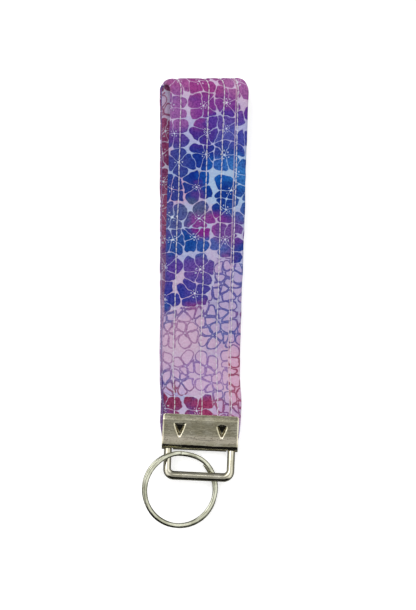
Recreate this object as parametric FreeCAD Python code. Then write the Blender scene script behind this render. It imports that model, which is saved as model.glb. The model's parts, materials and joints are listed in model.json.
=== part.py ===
"""Wristlet keychain: a quilted cotton strap folded into a wrist loop. Both ends of the strap are held in a
toothed metal clamp, a wire loop is captive in the clamp's fold, and a two-turn split ring hangs on the wire.

Millimetres and degrees. The keychain lies flat on a table: +Y runs along the strap, away from the ring, +X
runs across it, and +Z is up. The origin is the middle of the clamp's flat back, which rests on the table.
"""

import FreeCAD, Part
import math
import os

# Strap: one strip of printed cotton, folded round an interlining and quilted in four rows
STRAP_WIDTH = 32.8
LAYER = 2.1  # thickness of one layer of the finished strap
CORE_THICK = 1.1
COTTON_EDGE = 0.6  # cotton beyond each long edge of the interlining
LAYER_GAP = 0.1  # between the two layers where they lie on each other
STRAP_TOP = 149.4  # top of the folded loop
FOLD_RADIUS = 4.1  # of the middle of the layer, round the top fold
SKEW = 0.55  # sideways drift of the strap for each millimetre of height
LEAN = 2.55  # the loop leans this far from the clamp's axis
STRAP_X = -0.1  # middle of the strap at the height of the clamp's middle
STRAP_END = -2.2  # the cut ends of the strap, inside the clamp
FLEX_Y = 11.5  # the line about which the strap bends, just past the clamp's mouth
FLEX_SOCKET = 3.0  # room round that line in the loop's start
LEAVES_CLAMP = 15.5  # where the layers start to come down to the table
LIES_FLAT = 24.0  # where the lower layer lies on the table
OPENS = 33.0  # where the upper layer starts to rise towards the fold
SOFT_BEND = 40.0  # radius of the strap's gentle bends

# Quilting: each row has a needle thread on the outside and a bobbin thread on the inside
ROW_PLACES = (0.14, 0.49, 0.69, 0.87)  # across the strap's width
THREAD_WIDTH = 0.5
THREAD_DEPTH = 0.35

# Clamp: one plate folded into a U, with its fold at the ring's end
CLAMP_WIDTH = 32.0
CLAMP_HEIGHT = 15.4
CLAMP_DEPTH = 6.0
PLATE = 0.85
LIP_HEIGHT = 2.3  # strip along the mouth that is pressed inwards
LIP_PRESS = 0.25
CORNER = 1.3
TOOTH_PLACES = (-8.8, 9.0)
TOOTH_ROOT = 3.9
TOOTH_LENGTH = 6.25
TOOTH_WIDTH = 5.0
TOOTH_BEND = 20.0
TOOTH_CLEARANCE = 0.15
TOOTH_HINGE = 0.5  # metal that joins a tooth's root to the plate

# Wire loop: a rounded rectangle of round wire, whose top bar lies in the clamp's fold
WIRE_RADIUS = 1.5
LEG_X = 13.35
BAR_DISTANCE = 13.75  # from the top bar to the bottom bar
BOTTOM_BEND = 2.95
TOP_BEND = 1.8
PIVOT_Z = 2.6
LOOP_LIFT = 11.5  # the loop rests on the split ring, so it stands up by this much
SLOT_UP = 14.0  # the clamp's slots let the loop stand up this much
SLOT_DOWN = 46.5  # and hang down this much
SLOT_CLEARANCE = 0.2
SLOT_START = 0.2  # the slots begin this far from the wire's axis
SLOT_REACH = 8.0  # and run past the fold's outside
SLOT_INNER = 11.15
SLOT_OUTER = 15.05

# Split ring: two turns of flat wire, joined by a jog
RING_OUTER = 16.25
RING_WIRE = 2.05  # radial width of the wire
TURN = 1.15  # thickness of one turn
TURN_GAP = 0.1
JOG = 44.0  # degrees round the ring in which the wire drops from the upper turn to the lower one
JOG_STEPS = 8
RING_CENTRE = (-7.5, -24.0, 5.45)
RING_TILT = 13.5  # its left side lies on the wire loop's leg, its right side on the table
RING_END_ANGLE = 69.0  # where the jog is, seen from above

FAR = 60.0  # beyond every piece, for cutting tools
TOUCHING = 1e-6  # points closer than this are one point

BOTTOM = -CLAMP_HEIGHT / 2
MOUTH = CLAMP_HEIGHT / 2
MIDDLE_Z = CLAMP_DEPTH / 2
BEND_Y = BOTTOM + MIDDLE_Z
ALONG_X = FreeCAD.Vector(1, 0, 0)
ALONG_Y = FreeCAD.Vector(0, 1, 0)
UP = FreeCAD.Vector(0, 0, 1)
PIVOT = FreeCAD.Vector(0, BEND_Y, PIVOT_Z)


def side(y, z, x=0.0):
    """A point given in the side view, at x."""
    return FreeCAD.Vector(x, y, z)


def turned(shape, centre, axis, angle):
    """A copy of the shape, turned about a line."""
    copy = shape.copy()
    copy.rotate(centre, axis, angle)
    return copy


def polygon_prism(points, direction):
    """A closed polygon, pushed along a direction into a solid."""
    wire = Part.makePolygon(points + points[:1])
    return Part.Face(wire).extrude(direction)


def across(radius, y, z):
    """A long cylinder along X through a point of the side view."""
    return Part.makeCylinder(radius, 2 * FAR, side(y, z, -FAR), ALONG_X)


# ---- strap -----------------------------------------------------------------


def strap_route():
    """Corners of the strap's middle line in the side view, from the clamp out along the upper layer, round
    the top fold and back along the lower layer, each with the radius of its bend."""
    low = LAYER / 2
    high = low + LAYER + LAYER_GAP
    held_low = MIDDLE_Z - (LAYER + LAYER_GAP) / 2
    held_high = MIDDLE_Z + (LAYER + LAYER_GAP) / 2
    fold_y = STRAP_TOP - low - FOLD_RADIUS
    fold_z = low + FOLD_RADIUS
    rise = math.atan2(fold_z - high, fold_y - OPENS)
    rise += math.asin(FOLD_RADIUS / math.hypot(fold_z - high, fold_y - OPENS))
    top_corner = side(fold_y + FOLD_RADIUS, high + (fold_y + FOLD_RADIUS - OPENS) * math.tan(rise))
    return [
        (side(FLEX_Y - FLEX_SOCKET, held_high), 0),
        (side(LEAVES_CLAMP, held_high), SOFT_BEND),
        (side(LIES_FLAT, high), SOFT_BEND),
        (side(OPENS, high), SOFT_BEND),
        (top_corner, FOLD_RADIUS),
        (side(fold_y + FOLD_RADIUS, low), FOLD_RADIUS),
        (side(LIES_FLAT, low), SOFT_BEND),
        (side(LEAVES_CLAMP, held_low), SOFT_BEND),
        (side(FLEX_Y - FLEX_SOCKET, held_low), 0),
    ]


def outward(direction):
    """The side view's normal on the outside of the strap, for travel along a direction."""
    return side(-direction.z, direction.y)


def route_edges(offset):
    """The strap's route as lines and tangent arcs, moved outward by an offset."""
    route = strap_route()
    edges = []
    last = None
    for i, (corner, radius) in enumerate(route):
        before = (corner - route[i - 1][0]).normalize() if i > 0 else None
        after = (route[i + 1][0] - corner).normalize() if i < len(route) - 1 else None
        if before is None or after is None:
            end = corner + outward(after or before) * offset
            if last is not None:
                edges.append(Part.LineSegment(last, end).toShape())
            last = end
            continue
        turn = math.atan2(before.y * after.z - before.z * after.y, before.dot(after))
        inside = math.copysign(1, turn)
        reach = radius * math.tan(abs(turn) / 2)
        centre = corner - before * reach + outward(before) * (radius * inside)
        start = corner - before * reach + outward(before) * offset
        end = corner + after * reach + outward(after) * offset
        middle = centre + (corner - centre).normalize() * (radius - inside * offset)
        if last.distanceToPoint(start) > TOUCHING:
            edges.append(Part.LineSegment(last, start).toShape())
        edges.append(Part.Arc(start, middle, end).toShape())
        last = end
    return edges


def band(outer, inner):
    """The strap's side view between two offsets from its middle line, as a long prism along X."""
    outside = route_edges(outer)
    inside = route_edges(inner)
    closing = [
        Part.LineSegment(outside[0].Vertexes[0].Point, inside[0].Vertexes[0].Point).toShape(),
        Part.LineSegment(outside[-1].Vertexes[-1].Point, inside[-1].Vertexes[-1].Point).toShape(),
    ]
    wire = Part.Wire(Part.__sortEdges__(outside + inside + closing))
    face = Part.Face(wire)
    face.translate(ALONG_X * -FAR)
    return face.extrude(ALONG_X * (2 * FAR))


def skewed_strip(middle, width):
    """A tall slab along Y. The higher a layer of the strap lies, the further it drifts to +X."""
    low = -CLAMP_DEPTH
    high = 3 * CLAMP_DEPTH
    corners = []
    for edge, z in ((-1, low), (1, low), (1, high), (-1, high)):
        x = STRAP_X + middle + edge * width / 2 + SKEW * (z - MIDDLE_Z)
        corners.append(FreeCAD.Vector(x, -FAR, z))
    return polygon_prism(corners, ALONG_Y * (4 * FAR))


def loop_piece(outer, inner, middle, width):
    """A piece of the strap's loop: cut to its width, leaned, and cleared round the line it bends about."""
    piece = band(outer, inner).common(skewed_strip(middle, width))
    piece = turned(piece, FreeCAD.Vector(STRAP_X, FLEX_Y, 0), UP, LEAN)
    behind = Part.makeBox(2 * FAR, FAR, FAR, FreeCAD.Vector(-FAR, FLEX_Y - FAR, -FAR / 2))
    return piece.cut([behind, across(FLEX_SOCKET, FLEX_Y, MIDDLE_Z)])


def held_piece(thickness, width):
    """Both ends of the strap inside the clamp, rounded towards the line the strap bends about."""
    strips = []
    for way in (-1, 1):
        z = MIDDLE_Z + way * (LAYER + LAYER_GAP) / 2 - thickness / 2
        length = FLEX_Y + LAYER * 2 - STRAP_END
        strips.append(Part.makeBox(2 * FAR, length, thickness, FreeCAD.Vector(-FAR, STRAP_END, z)))
    half = LAYER + LAYER_GAP / 2
    straight = Part.makeBox(2 * FAR, FLEX_Y - STRAP_END, 2 * half, side(STRAP_END, MIDDLE_Z - half, -FAR))
    envelope = straight.fuse(across(half, FLEX_Y, MIDDLE_Z))
    trimmed = [s.common(envelope).common(skewed_strip(0, width)) for s in strips]
    return Part.makeCompound([solid for piece in trimmed for solid in piece.Solids])


def row_x(place):
    """Middle of a quilting row, from the strap's middle."""
    return (place - 0.5) * STRAP_WIDTH


def needle_thread(place):
    return loop_piece(LAYER / 2, LAYER / 2 - THREAD_DEPTH, row_x(place), THREAD_WIDTH)


def bobbin_thread(place):
    return loop_piece(THREAD_DEPTH - LAYER / 2, -LAYER / 2, row_x(place), THREAD_WIDTH)


# ---- clamp -----------------------------------------------------------------


def clamp_profile():
    """The folded plate's side view: an outer and an inner U, both pressed inwards along the mouth."""
    lip = MOUTH - LIP_HEIGHT
    points = {}
    for name, inset in (("outer", 0.0), ("inner", PLATE)):
        points[name] = (
            side(MOUTH, LIP_PRESS + inset),
            side(lip, inset),
            side(BEND_Y, inset),
            side(BOTTOM + inset, MIDDLE_Z),
            side(BEND_Y, CLAMP_DEPTH - inset),
            side(lip, CLAMP_DEPTH - inset),
            side(MOUTH, CLAMP_DEPTH - LIP_PRESS - inset),
        )
    edges = []
    for low_lip, low, low_bend, fold, high_bend, high, high_lip in points.values():
        edges.append(Part.LineSegment(low_lip, low).toShape())
        edges.append(Part.LineSegment(low, low_bend).toShape())
        edges.append(Part.Arc(low_bend, fold, high_bend).toShape())
        edges.append(Part.LineSegment(high_bend, high).toShape())
        edges.append(Part.LineSegment(high, high_lip).toShape())
    for end in (0, -1):
        edges.append(Part.LineSegment(points["outer"][end], points["inner"][end]).toShape())
    return Part.Face(Part.Wire(Part.__sortEdges__(edges)))


def rounded_plan():
    """The clamp's outline seen from above, with rounded corners, as a tall prism."""
    half = CLAMP_WIDTH / 2
    corner = side(BOTTOM, -MIDDLE_Z, -half)
    block = Part.makeBox(CLAMP_WIDTH, CLAMP_HEIGHT, 2 * CLAMP_DEPTH, corner)
    upright = [e for e in block.Edges if abs(e.Vertexes[0].Z - e.Vertexes[-1].Z) > CLAMP_DEPTH]
    return block.makeFillet(CORNER, upright)


def slot(way):
    """Room in the fold for one leg of the wire loop, over the whole of its swing."""
    room = WIRE_RADIUS + SLOT_CLEARANCE
    start = PIVOT + side(-SLOT_START, 0)
    corners = []
    for angle, edge in ((-SLOT_UP, 1), (SLOT_DOWN, -1)):
        swing = math.radians(angle)
        out = side(-math.cos(swing), -math.sin(swing))
        normal = side(-math.sin(swing), math.cos(swing)) * (edge * room)
        pair = [start + normal, start + normal + out * SLOT_REACH]
        corners.extend(pair if edge > 0 else reversed(pair))
    left = SLOT_INNER if way > 0 else -SLOT_OUTER
    placed = [c + ALONG_X * left for c in corners]
    return polygon_prism(placed, ALONG_X * (SLOT_OUTER - SLOT_INNER))


def tooth_outline(x, z, margin):
    """A triangle with its root towards the mouth and its tip towards the fold."""
    half = TOOTH_WIDTH / 2 - margin
    root = TOOTH_ROOT - margin
    tip = TOOTH_ROOT - TOOTH_LENGTH + 2 * margin
    return [side(root, z, x - half), side(root, z, x + half), side(tip, z, x)]


def clamp():
    """The folded plate with its slots, tooth openings and bent teeth."""
    profile = clamp_profile()
    profile.translate(ALONG_X * -FAR)
    plate = profile.extrude(ALONG_X * (2 * FAR)).common(rounded_plan())
    plate = plate.cut([slot(-1), slot(1)])
    teeth = []
    for x in TOOTH_PLACES:
        plate = plate.cut(polygon_prism(tooth_outline(x, -PLATE, 0), UP * (CLAMP_DEPTH + 2 * PLATE)))
        for z, bend in ((0.0, -TOOTH_BEND), (CLAMP_DEPTH - PLATE, TOOTH_BEND)):
            flap = polygon_prism(tooth_outline(x, z, TOOTH_CLEARANCE), UP * PLATE)
            root = side(TOOTH_ROOT - TOOTH_CLEARANCE, z + PLATE / 2, x)
            hinge = Part.makeBox(TOOTH_WIDTH - 2 * TOOTH_CLEARANCE, TOOTH_HINGE, PLATE)
            hinge.translate(side(TOOTH_ROOT - TOOTH_CLEARANCE, z, x - TOOTH_WIDTH / 2 + TOOTH_CLEARANCE))
            teeth.append(turned(flap, root, ALONG_X, bend))
            teeth.append(hinge)
    return plate.fuse(teeth).removeSplitter()


# ---- wire loop -------------------------------------------------------------


def wire_corner(x, y, bend, quarter):
    """A quarter bend of the wire about a point of the loop's plane."""
    circle = Part.Wire(Part.makeCircle(WIRE_RADIUS, side(y, 0, x + bend), ALONG_Y))
    elbow = Part.Face(circle).revolve(side(y, 0, x), UP, 90)
    return turned(elbow, side(y, 0, x), UP, quarter)


def wire_loop():
    """Bars, legs and quarter bends, built flat at the pivot and then lifted onto the split ring."""
    pieces = []
    for bend, y, top in ((TOP_BEND, 0.0, True), (BOTTOM_BEND, -BAR_DISTANCE, False)):
        half = LEG_X - bend
        pieces.append(Part.makeCylinder(WIRE_RADIUS, 2 * half, side(y, 0, -half), ALONG_X))
        inner_y = y - bend if top else y + bend
        pieces.append(wire_corner(half, inner_y, bend, 0 if top else -90))
        pieces.append(wire_corner(-half, inner_y, bend, 90 if top else 180))
    low = BOTTOM_BEND - BAR_DISTANCE
    for x in (-LEG_X, LEG_X):
        pieces.append(Part.makeCylinder(WIRE_RADIUS, -TOP_BEND - low, side(low, 0, x), ALONG_Y))
    flat = pieces[0].fuse(pieces[1:]).removeSplitter()
    flat.translate(PIVOT)
    return turned(flat, PIVOT, ALONG_X, -LOOP_LIFT)


# ---- split ring ------------------------------------------------------------


def ring_section(angle, z):
    """The flat wire's rounded cross-section at an angle round the ring, centred at height z."""
    middle = RING_OUTER - RING_WIRE / 2
    half = RING_WIRE / 2
    edge = TURN / 2
    left = middle - half + edge
    right = middle + half - edge
    edges = [
        Part.LineSegment(side(0, z - edge, left), side(0, z - edge, right)).toShape(),
        Part.Arc(side(0, z - edge, right), side(0, z, right + edge), side(0, z + edge, right)).toShape(),
        Part.LineSegment(side(0, z + edge, right), side(0, z + edge, left)).toShape(),
        Part.Arc(side(0, z + edge, left), side(0, z, left - edge), side(0, z - edge, left)).toShape(),
    ]
    wire = Part.Wire(edges)
    wire.rotate(FreeCAD.Vector(), UP, angle)
    return wire


def split_ring():
    """Two flat turns, one on the other, and the jog that drops from the upper one to the lower one."""
    level = (TURN + TURN_GAP) / 2
    turns = []
    for z in (-level, level):
        turns.append(Part.Face(ring_section(JOG / 2, z)).revolve(FreeCAD.Vector(), UP, 360 - JOG))
    sections = []
    for i in range(JOG_STEPS + 1):
        part = i / JOG_STEPS
        drop = part * part * (3 - 2 * part)
        sections.append(ring_section(JOG * (part - 0.5), level * (1 - 2 * drop)))
    jog = Part.makeLoft(sections, True, False)
    ring = turns[0].fuse([jog, turns[1]])
    ring.rotate(FreeCAD.Vector(), UP, RING_END_ANGLE)
    ring.rotate(FreeCAD.Vector(), ALONG_Y, RING_TILT)
    ring.translate(FreeCAD.Vector(*RING_CENTRE))
    return ring


# ---- all pieces ------------------------------------------------------------


def build():
    """Every piece by name."""
    pieces = {"clamp": clamp(), "wire_loop": wire_loop(), "split_ring": split_ring()}
    core_width = STRAP_WIDTH - 2 * COTTON_EDGE
    needle = [needle_thread(place) for place in ROW_PLACES]
    bobbin = [bobbin_thread(place) for place in ROW_PLACES]
    core = loop_piece(CORE_THICK / 2, -CORE_THICK / 2, 0, core_width)
    whole = loop_piece(LAYER / 2, -LAYER / 2, 0, STRAP_WIDTH)
    pieces["strap_cover"] = whole.cut([core] + needle + bobbin)
    pieces["strap_core"] = core
    held_core = held_piece(CORE_THICK, core_width)
    held_cover = held_piece(LAYER, STRAP_WIDTH).cut(held_core)
    pieces["strap_core_ends"] = held_core.cut(pieces["clamp"])
    pieces["strap_cover_ends"] = held_cover.cut(pieces["clamp"])
    for i in range(len(ROW_PLACES)):
        pieces["needle_thread_%d" % (i + 1)] = needle[i]
        pieces["bobbin_thread_%d" % (i + 1)] = bobbin[i]
    return pieces


os.makedirs("parts", exist_ok=True)
for name, shape in build().items():
    shape.exportStep("parts/%s.step" % name)
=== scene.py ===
"""The wristlet keychain's looks: a quilted, batik-printed strap, sewing thread and nickel hardware.

Everything is in metres in the CAD frame: +Y runs along the strap, away from the ring, and +Z is up from the
table. Lengths in millimetres are written with MM.
"""

import json
import math
import random

import bmesh
import bpy
import numpy as np
from mathutils import Matrix, Vector


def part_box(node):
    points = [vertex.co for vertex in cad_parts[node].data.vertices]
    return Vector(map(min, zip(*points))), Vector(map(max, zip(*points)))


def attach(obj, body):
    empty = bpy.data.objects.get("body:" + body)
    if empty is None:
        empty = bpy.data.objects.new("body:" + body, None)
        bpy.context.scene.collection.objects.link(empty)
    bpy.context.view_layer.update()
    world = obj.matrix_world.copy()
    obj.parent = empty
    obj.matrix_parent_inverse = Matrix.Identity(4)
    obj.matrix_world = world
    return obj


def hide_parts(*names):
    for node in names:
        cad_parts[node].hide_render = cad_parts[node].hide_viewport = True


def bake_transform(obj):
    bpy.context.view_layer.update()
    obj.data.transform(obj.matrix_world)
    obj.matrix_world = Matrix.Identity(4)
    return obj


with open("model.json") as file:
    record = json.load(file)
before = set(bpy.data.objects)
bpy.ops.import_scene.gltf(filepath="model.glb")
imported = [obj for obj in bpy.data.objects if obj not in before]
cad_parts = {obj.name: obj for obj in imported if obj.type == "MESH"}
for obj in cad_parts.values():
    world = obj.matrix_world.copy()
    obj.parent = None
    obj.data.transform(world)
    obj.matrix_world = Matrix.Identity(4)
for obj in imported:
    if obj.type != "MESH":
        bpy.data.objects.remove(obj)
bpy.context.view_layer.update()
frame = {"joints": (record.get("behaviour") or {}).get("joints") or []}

MM = 0.001

# ---- sizes, which repeat the CAD's where the frame has no box for them -----------------------------------------

CLAMP_LOW, CLAMP_HIGH = (np.array(c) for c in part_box("clamp"))
STRAP_HIGH = np.array(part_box("strap_cover")[1])
JOINT = {j["name"]: j for j in frame["joints"]}

MOUTH = CLAMP_HIGH[1]
MIDDLE_Z = (CLAMP_LOW[2] + CLAMP_HIGH[2]) / 2
PLATE = 0.85 * MM
CLEARANCE = 0.08 * MM  # the plate is this much thinner than the CAD's, inside, so that the wire turns clear of it
CROWN = 0.24 * MM  # the plates bow in by this much from the mouth to the fold
CORNER = 1.3 * MM
TEETH = (-8.8 * MM, 9.0 * MM)
TOOTH_ROOT, TOOTH_LENGTH, TOOTH_WIDTH = 3.9 * MM, 6.25 * MM, 5.0 * MM
TOOTH_ROUND = 1.1 * MM  # the root of the second front tooth's opening is an arch this deep
RIM = 0.32 * MM  # drawn-in metal round a tooth's opening
BEND_Y = CLAMP_LOW[1] + MIDDLE_Z
PIVOT = Vector(JOINT["loop_swing"]["pos_m"])
FLEX = Vector(JOINT["strap_flex"]["pos_m"])

STRAP_WIDTH = 32.8 * MM
LAYER = 2.1 * MM
LAYER_GAP = 0.1 * MM
SKIN = 1.0 * MM  # from a layer's middle line to its skin, between the rows
EDGE = 0.85 * MM  # how far the rounded long edges reach past the flat of the strap
SOFT_BEND = 40 * MM
LEAVES_CLAMP = FLEX.y + 4 * MM  # where the layers start to come down to the table
LIES_FLAT = FLEX.y + 12.5 * MM
OPENS = FLEX.y + 21.5 * MM  # where the upper layer starts to rise towards the fold
STRAP_X = -0.1 * MM
STRAP_END = -2.2 * MM
SKEW = 0.55
LEAN = math.radians(2.55)
FOLD_RADIUS = 4.1 * MM
ROW_PLACES = (0.14, 0.49, 0.69, 0.87)
STITCH = 2.3 * MM
THREAD = 0.42 * MM
PUCKERS = ((2.3 * MM, 0.045 * MM), (4.1 * MM, 0.085 * MM), (7.5 * MM, 0.07 * MM))  # pitch and height
OVERLAP_FROM_ROW = 0.9 * MM  # the cotton's folded edge lies this far inside the last row
OVERLAP_RISE = 0.24 * MM
OVERLAP_X = ROW_PLACES[-1] * STRAP_WIDTH - OVERLAP_FROM_ROW

WIRE_RADIUS = 1.5 * MM
LEG_X = 13.35 * MM
BAR_DISTANCE = 13.75 * MM
BOTTOM_BEND = 2.95 * MM
TOP_BEND = 1.8 * MM
LOOP_LIFT = math.radians(11.5)

RING_RADIUS = 15.22 * MM
RING_WIRE = 2.05 * MM
TURN = 1.15 * MM
TURN_GAP = 0.1 * MM
JOG = math.radians(44)
RING_CENTRE = Vector((-7.5 * MM, -24.0 * MM, 5.45 * MM))
RING_TILT = math.radians(13.5)
RING_END_ANGLE = math.radians(69)


# ---- node helpers ----------------------------------------------------------------------------------------------


class Nodes:
    """A small helper that adds nodes to one tree and wires them up."""

    def __init__(self, tree):
        self.tree = tree
        self.tree.nodes.clear()

    def node(self, kind, **settings):
        made = self.tree.nodes.new(kind)
        for key, value in settings.items():
            setattr(made, key, value)
        return made

    def put(self, socket, value):
        if isinstance(value, bpy.types.NodeSocket):
            self.tree.links.new(value, socket)
        elif isinstance(value, bpy.types.Node):
            self.tree.links.new(value.outputs[0], socket)
        else:
            socket.default_value = value

    def math(self, operation, *values):
        made = self.node("ShaderNodeMath", operation=operation)
        for i, value in enumerate(values):
            self.put(made.inputs[i], value)
        return made.outputs[0]

    def plus(self, a, b):
        return self.math("ADD", a, b)

    def minus(self, a, b):
        return self.math("SUBTRACT", a, b)

    def times(self, a, b):
        return self.math("MULTIPLY", a, b)

    def length(self, x, y):
        return self.math("SQRT", self.plus(self.math("POWER", x, 2.0), self.math("POWER", y, 2.0)))

    def vector(self, operation, *values):
        made = self.node("ShaderNodeVectorMath", operation=operation)
        for i, value in enumerate(values):
            self.put(made.inputs[i], value)
        return made.outputs[0]

    def scaled(self, vector, factor):
        made = self.node("ShaderNodeVectorMath", operation="SCALE")
        self.put(made.inputs[0], vector)
        self.put(made.inputs["Scale"], factor)
        return made.outputs[0]

    def parts(self, vector):
        made = self.node("ShaderNodeSeparateXYZ")
        self.put(made.inputs[0], vector)
        return made.outputs[0], made.outputs[1], made.outputs[2]

    def mix(self, factor, a, b, blend="MIX"):
        made = self.node("ShaderNodeMix", data_type="RGBA", blend_type=blend, clamp_factor=True)
        self.put(made.inputs[0], factor)
        self.put(made.inputs[6], a)
        self.put(made.inputs[7], b)
        return made.outputs[2]

    def tinted(self, colour, tint):
        return self.mix(1.0, colour, tint, "MULTIPLY")

    def step(self, value, low, high):
        """0 below low, 1 above high, smooth between. low may be above high."""
        made = self.node("ShaderNodeMapRange", interpolation_type="SMOOTHSTEP")
        self.put(made.inputs["Value"], value)
        self.put(made.inputs["From Min"], low)
        self.put(made.inputs["From Max"], high)
        return made.outputs[0]

    def noise(self, vector, scale, detail=3.0, roughness=0.5, colour=False):
        made = self.node("ShaderNodeTexNoise")
        self.put(made.inputs["Vector"], vector)
        made.inputs["Scale"].default_value = scale
        made.inputs["Detail"].default_value = detail
        made.inputs["Roughness"].default_value = roughness
        return made.outputs["Color" if colour else 0]

    def ramp(self, factor, stops):
        made = self.node("ShaderNodeValToRGB")
        self.put(made.inputs[0], factor)
        band = made.color_ramp
        while len(band.elements) < len(stops):
            band.elements.new(0.5)
        for element, (place, colour) in zip(band.elements, stops):
            element.position = place
            element.color = colour
        return made.outputs[0]

    def bump(self, height, distance, strength=1.0, normal=None):
        made = self.node("ShaderNodeBump")
        made.inputs["Strength"].default_value = strength
        made.inputs["Distance"].default_value = distance
        self.put(made.inputs["Height"], height)
        if normal is not None:
            self.put(made.inputs["Normal"], normal)
        return made.outputs[0]


class Shader(Nodes):
    """The nodes of a new material round one Principled surface."""

    def __init__(self, name):
        self.material = bpy.data.materials.new(name)
        self.material.use_nodes = True
        super().__init__(self.material.node_tree)
        self.surface = self.node("ShaderNodeBsdfPrincipled")
        self.put(self.node("ShaderNodeOutputMaterial").inputs["Surface"], self.surface)

    def set(self, **values):
        for name, value in values.items():
            self.put(self.surface.inputs[name.replace("_", " ")], value)


def rgb(red, green, blue):
    """A colour given as it looks on a screen, from 0 to 255, as linear light."""
    linear = [c / 255 / 12.92 if c <= 10.3 else ((c / 255 + 0.055) / 1.055) ** 2.4 for c in (red, green, blue)]
    return (*linear, 1.0)


# ---- materials -------------------------------------------------------------------------------------------------

# Soft patches of dye on the outer face of the upper layer. x is across the strap from its left edge, s along it
# from the cut end in the clamp, both in millimetres, then the patch's half width and half length.
PETAL_PATCHES = (
    # x, s, half width, half length, colour, strength
    (16, 150, 30, 9, rgb(168, 64, 140), 1.0),
    (30, 147, 9, 6, rgb(186, 104, 168), 0.8),
    (15, 137, 28, 8, rgb(144, 58, 152), 1.0),
    (4, 136, 7, 12, rgb(168, 88, 164), 0.8),
    (26, 132, 12, 8, rgb(92, 52, 158), 1.0),
    (12, 125, 18, 6, rgb(82, 42, 146), 1.0),
    (27, 124, 11, 8, rgb(66, 72, 170), 0.9),
    (15, 115, 24, 10, rgb(16, 50, 150), 1.0),
    (24, 110, 11, 10, rgb(18, 92, 184), 1.0),
    (31, 108, 7, 10, rgb(48, 120, 198), 0.9),
    (3, 116, 6, 8, rgb(62, 64, 150), 0.9),
    (4, 103, 7, 9, rgb(34, 62, 148), 0.9),
    (13, 97, 9, 4, rgb(84, 92, 132), 0.9),
    (24, 101, 10, 8, rgb(10, 56, 150), 1.0),
    (31, 96, 6, 8, rgb(52, 88, 168), 0.9),
    (16, 89, 13, 6, rgb(146, 44, 146), 1.0),
    (28, 88, 7, 6, rgb(110, 56, 150), 0.9),
    (4, 92, 6, 7, rgb(64, 74, 144), 0.9),
    (7, 81, 9, 7, rgb(20, 74, 160), 1.0),
    (19, 80, 8, 5, rgb(54, 92, 176), 0.9),
    (10, 71, 12, 6, rgb(92, 56, 158), 1.0),
    (5, 61, 9, 6, rgb(30, 50, 156), 1.0),
    (14, 63, 6, 6, rgb(70, 60, 160), 0.9),
    (25, 62, 9, 14, rgb(70, 58, 156), 1.0),
    (24, 44, 11, 10, rgb(58, 72, 162), 1.0),
    (7, 40, 11, 14, rgb(176, 114, 166), 1.0),
    (20, 27, 13, 9, rgb(154, 104, 178), 1.0),
    (16, 4, 24, 9, rgb(150, 44, 98), 1.0),
    (5, 17, 9, 6, rgb(148, 16, 68), 1.0),
    (19, 13, 7, 5, rgb(168, 24, 84), 1.0),
    (8, 5, 16, 4, rgb(146, 62, 112), 0.8),
    (-1, 6, 3, 9, rgb(112, 52, 104), 1.0),
    (33, 6, 2, 9, rgb(140, 90, 154), 1.0),
)
GROUND_PATCHES = (
    (16, 150, 30, 12, rgb(208, 150, 196), 1.0),
    (4, 134, 8, 14, rgb(206, 158, 204), 1.0),
    (18, 126, 22, 12, rgb(164, 150, 210), 1.0),
    (26, 108, 14, 14, rgb(142, 176, 222), 0.9),
    (8, 112, 10, 12, rgb(132, 150, 208), 0.9),
    (5, 104, 5, 6, rgb(204, 124, 178), 0.9),
    (12, 109, 5, 4, rgb(122, 84, 92), 0.9),
    (8, 88, 12, 10, rgb(164, 166, 212), 0.9),
    (26, 82, 10, 10, rgb(186, 160, 208), 0.9),
    (6, 64, 12, 8, rgb(200, 150, 194), 0.9),
    (24, 56, 12, 16, rgb(178, 156, 202), 0.9),
    (8, 40, 14, 16, rgb(216, 170, 200), 1.0),
    (18, 26, 18, 12, rgb(210, 166, 202), 1.0),
    (28, 26, 6, 14, rgb(216, 164, 196), 0.8),
    (12, 8, 20, 8, rgb(196, 156, 204), 0.9),
)
# Past the cotton's folded edge, low down, the petals are crimson.
EDGE_PATCH = (31, 23, 9, 15, rgb(158, 14, 78))
# Where the flowers are drawn as outlines and not as filled petals
OUTLINE_PATCHES = (
    (25, 64, 8, 12),
    (22, 48, 14, 12),
    (8, 40, 11, 12),
    (14, 28, 14, 8),
    (30, 24, 5, 14),
    (26, 16, 10, 12),
    (29, 36, 9, 9),
    (2, 27, 7, 6),
    (35, 52, 6, 44),
    (31, 76, 4, 6),
)
# The lower layer's dyes, of which only a strip along its left edge shows from above
REAR_PATCHES = (
    (70, 170, 9, 22, rgb(162, 46, 100), 1.0),
    (70, 196, 9, 12, rgb(142, 40, 98), 1.0),
    (71, 214, 8, 14, rgb(176, 86, 126), 1.0),
    (70, 238, 9, 14, rgb(156, 96, 146), 1.0),
    (70, 262, 9, 18, rgb(206, 156, 194), 1.0),
    (0, 200, 4, 46, rgb(160, 60, 112), 1.0),
    (0, 262, 4, 26, rgb(206, 156, 194), 1.0),
    (71, 298, 9, 14, rgb(134, 80, 136), 1.0),
    (0, 298, 4, 14, rgb(134, 80, 136), 1.0),
)


# The dyes' colours at random, away from the patches
DRIFTING_PETALS = (
    (0.30, rgb(150, 44, 104)),
    (0.40, rgb(136, 58, 140)),
    (0.48, rgb(84, 60, 150)),
    (0.55, rgb(36, 66, 154)),
    (0.62, rgb(50, 108, 182)),
    (0.70, rgb(112, 88, 168)),
)
DRIFTING_GROUND = (
    (0.32, rgb(200, 132, 178)),
    (0.45, rgb(188, 142, 196)),
    (0.55, rgb(152, 150, 208)),
    (0.68, rgb(196, 156, 204)),
)

# In millimetres on the cloth
OUTER_FACE = 34.0  # the outer face and its edge come before this
TOP_FOLD = (150.0, 158.0)  # the upper layer's patches fade out here
BIG_FLOWER, SMALL_FLOWER = 11.5, 9.6
SMALL_SHIFT = (31.0, 17.0, 0.0)  # keeps the small flowers from following the big ones
OVERLAP_SHIFT = (21.0, 38.0, 0.0)
WARP_PITCH, WEFT_PITCH = 0.36, 0.40

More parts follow.
